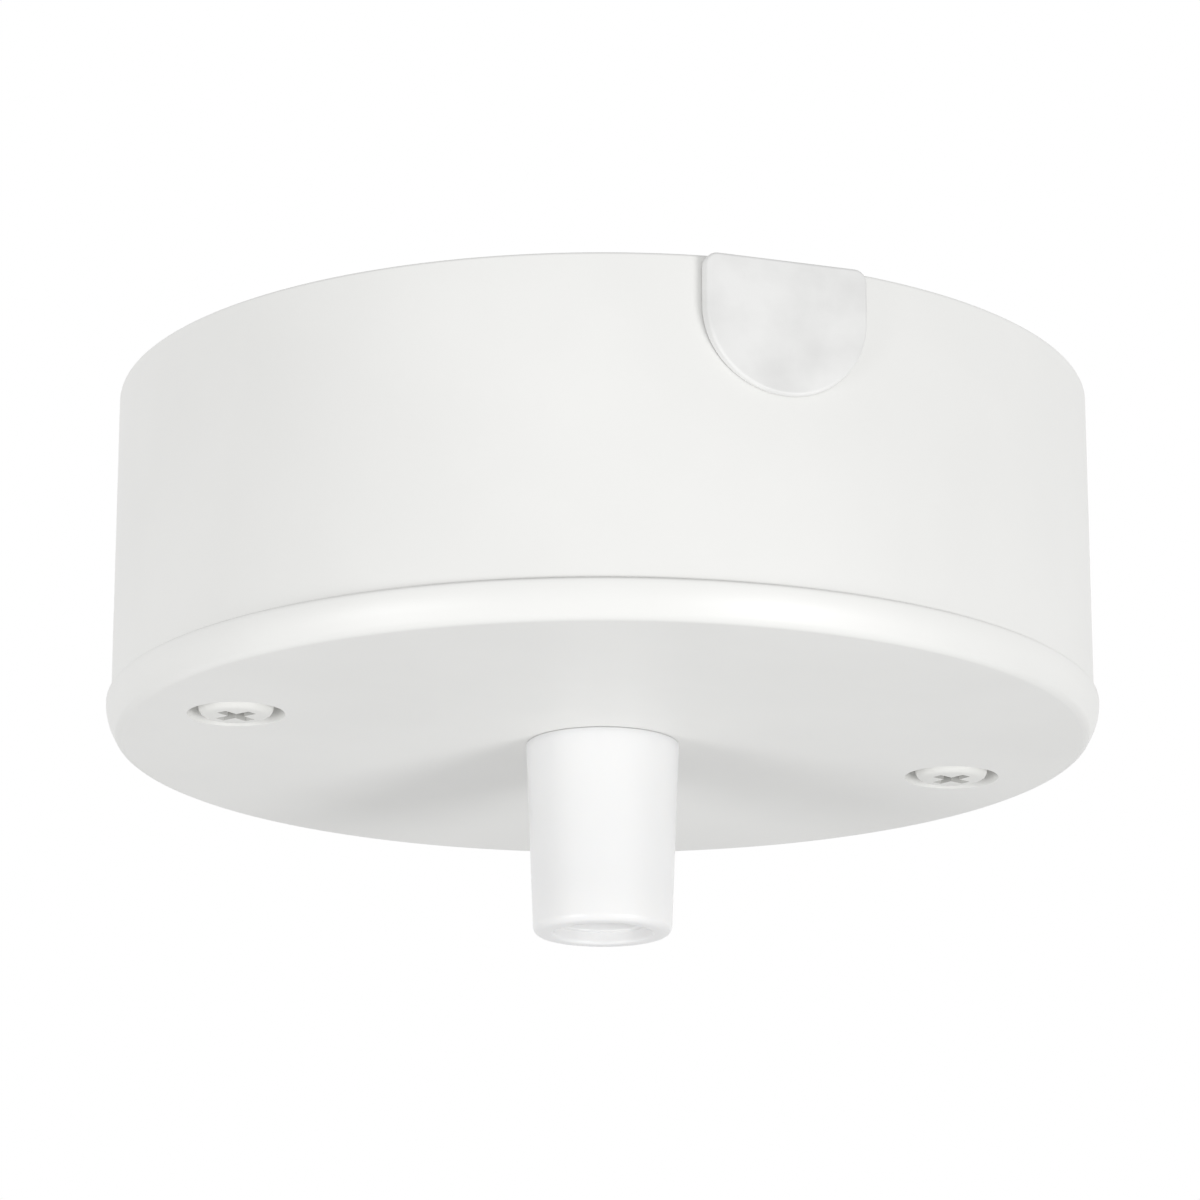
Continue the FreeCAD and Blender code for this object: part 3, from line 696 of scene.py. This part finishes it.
def grip_washer():
    bm = tube(NUT_WASHER_R, SHANK_CREST + WASHER_GAP, HUB, NUT_LOW, WASHER_ROUND, GRIP_STEPS)
    return finish_piece(bm, "nut_washer", "cover", ZINC, "grip_washer")


def grip_collet():
    """Split ring: a collar on the cap's ledge and four fingers that the nipple's cone closes."""
    collar = NIPPLE_END - COLLAR_GAP
    cone = NIPPLE_END + CONE_DEPTH
    finger_r = SEAT_R - COLLET_GAP
    bm = lathe([(CORD_R, COLLET_LOW, COLLET_ROUND), (COLLAR_R, COLLET_LOW, COLLET_ROUND),
                (COLLAR_R, collar, COLLET_ROUND), (CONE_R - COLLET_GAP, collar, 0),
                (CONE_R - COLLET_GAP, NIPPLE_END, 0), (finger_r, cone, 0), (finger_r, COLLET_HIGH, BROKEN),
                (CORD_R, COLLET_HIGH, BROKEN)], GRIP_STEPS)
    cuts = []
    half = COLLET_SLOT_HALF
    for i in range(COLLET_SLOTS):
        cut = slab(0, COLLAR_R + PAST, -half, half, collar - half, COLLET_HIGH + PAST)
        cuts.append(turn_about_z(cut, (i + 0.5) * 360 / COLLET_SLOTS))
    bm = combine(bm, cuts, "DIFFERENCE")
    return finish_piece(bm, "collet_ring", "collet", INNER_NYLON, "grip_collet")


# Cover screws


def cross_recess(crown):
    """Cross that narrows towards its bottom."""
    long_half, thin_half = RECESS_HALF
    arms = []
    for turn in (0, 90):
        arm = slab(-long_half, long_half, -thin_half, thin_half, crown - PAST, crown + RECESS_DEPTH)
        for v in arm.verts:
            if v.co.z > crown * MM:
                v.co.x *= RECESS_FOOT[0]
                v.co.y *= RECESS_FOOT[1]
            else:
                v.co.x *= RECESS_MOUTH
        arms.append(turn_about_z(arm, turn))
    return combine(arms[0], [arms[1]], "UNION")


def cover_screw(side, sign, turn):
    """Pan-head machine screw with a threaded shank; turn is how its cross happens to stand."""
    crown = SCREW_CROWN - HEAD_PROUD
    head = lathe([(0, SCREW_SEAT, 0), (SCREW_HEAD_R, SCREW_SEAT, HEAD_SEAT_ROUND),
                  (SCREW_HEAD_R, crown, HEAD_ROUND), (0, crown, 0)], GRIP_STEPS)
    inside = SCREW_SEAT - SUNK
    shank = lathe([(0, SCREW_TIP, 0), (SHANK_ROOT_R, SCREW_TIP, TIP_ROUND), (SHANK_ROOT_R, inside, 0),
                   (0, inside, 0)], SMALL_STEPS)
    plain = rod(SHANK_R, inside + BROKEN, POCKET_FLOOR + PLAIN_SHANK)
    ridge = thread(SHANK_ROOT_R, SHANK_R - THREAD_PLAY, SCREW_PITCH, POCKET_FLOOR + PLAIN_SHANK / 2,
                   SCREW_TIP - THREAD_END)
    bm = combine(head, [shank, plain, ridge], "UNION")
    bm = combine(bm, [turn_about_z(cross_recess(crown), turn)], "DIFFERENCE")
    # Faces deep in the cross take the second, darker material: painted shade in the recess
    shade_reach = SCREW_HEAD_R - HEAD_ROUND
    for face in bm.faces:
        centre = face.calc_center_median() / MM
        deep = RECESS_SKIN < centre.z - crown < RECESS_DEPTH + RECESS_SKIN
        if deep and math.hypot(centre.x, centre.y) < shade_reach:
            face.material_index = 1
    bmesh.ops.translate(bm, vec=(sign * SCREW_X * MM, 0, 0), verts=bm.verts)
    piece = finish_piece(bm, f"cover_screw_{side}_body", f"screw_{side}", SCREW_ENAMEL,
                         f"cover_screw_{side}")
    piece.data.materials.append(RECESS_PAINTED_SHADE)
    return piece


def screw_washer(side, sign):
    bm = tube(SCREW_WASHER_R, SHANK_R + THREAD_ROOM, SCREW_SEAT, POCKET_FLOOR, BROKEN, GRIP_STEPS,
              (sign * SCREW_X, 0))
    return finish_piece(bm, f"screw_washer_{side}_ring", f"washer_{side}", INNER_NYLON,
                        f"screw_washer_{side}")


def boss_insert(side, sign):
    """Brass sleeve with a chamfered bore and a waist that the moulding grips."""
    top = BOSS_END + INSERT_LENGTH
    third = INSERT_LENGTH / 3
    waist = INSERT_R - INSERT_WAIST
    bm = lathe([(INSERT_BORE, BOSS_END, INSERT_MOUTH_ROUND), (INSERT_R, BOSS_END, BROKEN),
                (INSERT_R, BOSS_END + third, BROKEN), (waist, BOSS_END + third, 0), (waist, top - third, 0),
                (INSERT_R, top - third, BROKEN), (INSERT_R, top, BROKEN), (INSERT_BORE, top, BROKEN)],
               SMALL_STEPS, (sign * SCREW_X, 0))
    return finish_piece(bm, f"boss_sleeve_{side}", "housing", BRASS, f"boss_insert_{side}")


# Terminal block


def terminal_block():
    slab_half = middle("line_terminal", X) + TERMINAL_HALF + WAY_WALL
    half = TERMINAL_HALF + TERMINAL_GAP + WAY_WALL
    way_low = TERMINAL_LOW - WAY_WALL
    base = BLOCK_TOP - SLAB
    bm = slab(-slab_half, slab_half, BLOCK_FRONT, BLOCK_BACK, base, BLOCK_TOP)
    added = [slab(-EAR_X, EAR_X, BLOCK_Y - POST_R, BLOCK_Y + POST_R, base, BLOCK_TOP)]
    cuts = []
    for x in (-EAR_X, EAR_X):
        added.append(rod(POST_R, base, BLOCK_TOP, x, BLOCK_Y))
        cuts.append(rod(EAR_HOLE_R, base - PAST, BLOCK_TOP + PAST, x, BLOCK_Y))
    for way in WAYS:
        x = middle(f"{way}_terminal", X)
        sunk = BLOCK_TOP - SUNK
        outline = [(x - half, sunk), (x - half, way_low), (x + half, way_low), (x + half, sunk)]
        rounds = [(1, WAY_ROUND, WAY_ROUND_STEPS), (2, WAY_ROUND, WAY_ROUND_STEPS)]
        added.append(prism_along_y(outline, BLOCK_FRONT, BLOCK_BACK, rounds))
        cuts.append(terminal_prism(x, TERMINAL_GAP, BLOCK_FRONT - PAST, BLOCK_BACK - END_WALL))
        cuts.append(rod_along_y(WIRE_ENTRY_R, BLOCK_FRONT, BLOCK_BACK + PAST, x, WIRE_Z))
        for place in ("front", "rear"):
            y = middle(f"{way}_screw_{place}", Y)
            added.append(rod(TOWER_R, TOWER_END, TERMINAL_LOW, x, y))
            cuts.append(rod(WELL_R, TOWER_END - PAST, TERMINAL_LOW, x, y))
    bm = combine(bm, added, "UNION")
    bm = combine(bm, cuts, "DIFFERENCE")
    return finish_piece(bm, "terminal_body", "housing", BLOCK_POLYAMIDE, "terminal_block",
                        edge_round=BLOCK_EDGE_ROUND)


def terminal_prism(x, grow, y_low, y_high):
    """Round over the wire, straight down to the side that the screws enter."""
    half = TERMINAL_HALF + grow
    outline = [(x - half, TERMINAL_HIGH + grow), (x - half, TERMINAL_LOW - grow),
               (x + half, TERMINAL_LOW - grow), (x + half, TERMINAL_HIGH + grow)]
    rounds = [(0, half - SHORT, HALF_ROUND_STEPS), (3, half - SHORT, HALF_ROUND_STEPS)]
    return prism_along_y(outline, y_low, y_high, rounds)


def brass_terminal(way):
    node = f"{way}_terminal"
    x = middle(node, X)
    bm = terminal_prism(x, 0, low(node, Y), high(node, Y))
    cuts = [rod_along_y(WIRE_R, low(node, Y) - PAST, high(node, Y) + PAST, x, WIRE_Z)]
    for place in ("front", "rear"):
        y = middle(f"{way}_screw_{place}", Y)
        cuts.append(rod(CLAMP_SCREW[0] + THREAD_ROOM, TERMINAL_LOW - PAST, WIRE_Z, x, y))
    bm = combine(bm, cuts, "DIFFERENCE")
    return finish_piece(bm, f"{way}_terminal_brass", "housing", BRASS, node,
                        edge_round=TERMINAL_EDGE_ROUND)


def slotted_screw(node, name, body, radii, head_height):
    """Cheese-head screw with a driver slot; its head hangs below its threaded shank."""
    radius, head_r = radii
    half, depth = DRIVER_SLOT
    head_low, tip = low(node, Z), high(node, Z)
    seat = head_low + head_height
    root = radius - SLOTTED_THREAD
    head_round, tip_round = SLOTTED_ROUNDS
    head = lathe([(0, seat, 0), (head_r, seat, BROKEN), (head_r, head_low, head_round), (0, head_low, 0)],
                 SMALL_STEPS)
    shank = lathe([(0, tip, 0), (root, tip, tip_round), (root, seat - SUNK, 0), (0, seat - SUNK, 0)],
                  SMALL_STEPS)
    ridge = thread(root, radius, SCREW_PITCH, seat, tip - THREAD_END)
    bm = combine(head, [shank, ridge], "UNION")
    reach = head_r + PAST
    bm = combine(bm, [slab(-reach, reach, -half, half, head_low - PAST, head_low + depth)], "DIFFERENCE")
    bmesh.ops.translate(bm, vec=(middle(node, X) * MM, middle(node, Y) * MM, 0), verts=bm.verts)
    return finish_piece(bm, name, body, ZINC, node)


housing_shell()
entry_blank()
cover()
grip_cap()
grip_nipple()
grip_nut()
grip_washer()
grip_collet()
for side, sign, turn in (("left", -1, 32), ("right", 1, 22)):
    cover_screw(side, sign, turn)
    screw_washer(side, sign)
    boss_insert(side, sign)
    slotted_screw(f"block_screw_{side}", f"block_screw_{side}_body", "housing", FIXING_SCREW, FIXING_HEAD)
terminal_block()
for way in WAYS:
    brass_terminal(way)
    for place in ("front", "rear"):
        slotted_screw(f"{way}_screw_{place}", f"{way}_clamp_screw_{place}", f"{way}_{place}_screw",
                      CLAMP_SCREW, CLAMP_HEAD)

# Camera, where the photograph was taken from
CAMERA_DISTANCE = 504.2  # from the seam's middle
CAMERA_BELOW = 14.28  # degrees under the seam
CAMERA_LOOK_UP = 15.53
CAMERA_AZIMUTH = -20.3
CAMERA_AIM_RIGHT = 0.03
LENS = 152.6
SENSOR = 36.0
CLIP = (0.01, 20.0)  # metres


def direction(azimuth, elevation):
    """Unit vector from the rose towards a place: azimuth 0 is in front, 90 on the right."""
    a, e = math.radians(azimuth), math.radians(elevation)
    return Vector((math.sin(a) * math.cos(e), -math.cos(a) * math.cos(e), math.sin(e)))


def photo_camera():
    data = bpy.data.cameras.new("photo_camera")
    data.lens = LENS
    data.sensor_width = SENSOR
    data.clip_start, data.clip_end = CLIP
    camera = bpy.data.objects.new("photo_camera", data)
    bpy.context.scene.collection.objects.link(camera)
    away = direction(CAMERA_AZIMUTH, -CAMERA_BELOW)
    camera.location = Vector((0, 0, SEAM * MM)) + away * CAMERA_DISTANCE * MM
    ahead = -direction(CAMERA_AZIMUTH + CAMERA_AIM_RIGHT, -CAMERA_LOOK_UP)
    camera.rotation_euler = ahead.to_track_quat("-Z", "Y").to_euler()
    bpy.context.scene.camera = camera


def soft_lamp(name, azimuth, elevation, size, power):
    """Round lamp aimed at the middle of the rose."""
    data = bpy.data.lights.new(name, "AREA")
    data.shape = "DISK"
    data.size = size
    data.energy = power
    lamp = bpy.data.objects.new(name, data)
    bpy.context.scene.collection.objects.link(lamp)
    away = direction(azimuth, elevation)
    lamp.location = Vector((0, 0, SEAM * MM)) + away * LAMP_DISTANCE
    lamp.rotation_euler = (-away).to_track_quat("-Z", "Y").to_euler()


# Studio
FLOOR_LEVEL = -0.9  # metres
FLOOR_HALF = 4.0
FLOOR_ROUGHNESS = 0.9
ROOM_LIGHT = 0.565
LAMP_DISTANCE = 0.9
LAMPS = {  # azimuth and elevation in degrees, size in metres, power in watts
    "key_right": (22, -24, 0.35, 3.35),
    "fill_left": (-68, -21, 0.4, 2.5),
}


def pale_floor():
    bm = bmesh.new()
    bmesh.ops.create_grid(bm, x_segments=1, y_segments=1, size=FLOOR_HALF)
    bmesh.ops.translate(bm, vec=(0, 0, FLOOR_LEVEL), verts=bm.verts)
    floor = mesh_object(bm, "floor")
    material, tree, output = start_material("matt_white_floor")
    shader = add_node(tree, "ShaderNodeBsdfPrincipled",
                      inputs={"Base Color": colour("#F4F4F4"), "Roughness": FLOOR_ROUGHNESS})
    tree.links.new(shader.outputs["BSDF"], output.inputs["Surface"])
    floor.data.materials.append(material)


def pale_room():
    """Even light from all round; the camera, gloss and glass see it as white."""
    world = bpy.data.worlds.new("pale_room")
    bpy.context.scene.world = world
    world.use_nodes = True
    tree = world.node_tree
    tree.nodes.clear()
    output = tree.nodes.new("ShaderNodeOutputWorld")
    path = add_node(tree, "ShaderNodeLightPath")
    seen = path.outputs["Is Camera Ray"]
    for ray in ("Is Glossy Ray", "Is Transmission Ray"):
        either = add_node(tree, "ShaderNodeMath", {"operation": "MAXIMUM"})
        tree.links.new(seen, either.inputs[0])
        tree.links.new(path.outputs[ray], either.inputs[1])
        seen = either.outputs[0]
    bright = colour("#FFFFFF")
    room = add_node(tree, "ShaderNodeBackground", inputs={"Color": bright, "Strength": ROOM_LIGHT})
    white = add_node(tree, "ShaderNodeBackground", inputs={"Color": bright, "Strength": 1.0})
    mix = add_node(tree, "ShaderNodeMixShader", links={"Fac": seen})
    tree.links.new(room.outputs[0], mix.inputs[1])
    tree.links.new(white.outputs[0], mix.inputs[2])
    tree.links.new(mix.outputs[0], output.inputs["Surface"])


photo_camera()
pale_floor()
pale_room()
for name, lamp in LAMPS.items():
    soft_lamp(name, *lamp)
bpy.context.scene.view_settings.view_transform = "Standard"
